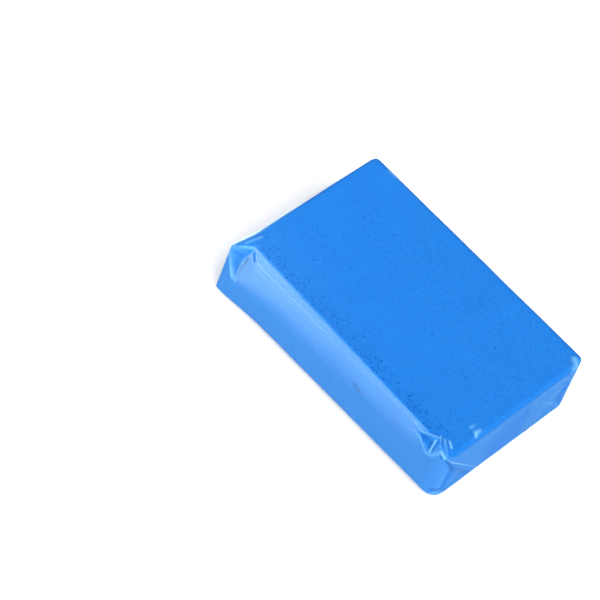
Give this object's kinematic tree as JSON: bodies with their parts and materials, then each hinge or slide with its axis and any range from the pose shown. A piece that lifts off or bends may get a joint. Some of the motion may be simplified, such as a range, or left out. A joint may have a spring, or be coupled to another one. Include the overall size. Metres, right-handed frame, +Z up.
{
  "type": "clay bar",
  "caption": "Rectangular block of blue detailing clay with rounded edges, wrapped in clear film with envelope-folded ends whose outer flaps lift.",
  "frame": {"origin": "on the surface the bar rests on, under the middle of the bar", "axes": "+X along the bar towards its right end, +Y across the bar, +Z up"},
  "size_m": [0.0718, 0.047, 0.0185],
  "materials": {
    "clay": "smooth, slightly greasy clay with fine air bubbles",
    "film": "thin clear glossy film, creased at the folds"
  },
  "bodies": {
    "wrapped_bar": {"clay_block": "clay", "film_sleeve": "film", "film_seam_lap": "film", "right_near_tuck": "film", "right_far_tuck": "film", "right_bottom_gussets": "film", "right_bottom_flap": "film", "left_near_tuck": "film", "left_far_tuck": "film", "left_bottom_gussets": "film", "left_bottom_flap": "film"},
    "right_flap": {"right_top_gussets": "film", "right_top_flap": "film"},
    "left_flap": {"left_top_gussets": "film", "left_top_flap": "film"}
  },
  "joints": [
    {"name": "right_flap_crease", "type": "hinge", "parent": "wrapped_bar", "child": "right_flap", "pos_m": [0.0359, 0, 0.01589], "axis": [0, -1, 0], "range_deg": [0, 100]},
    {"name": "left_flap_crease", "type": "hinge", "parent": "wrapped_bar", "child": "left_flap", "pos_m": [-0.0359, 0, 0.01589], "axis": [0, 1, 0], "range_deg": [0, 100]}
  ]
}
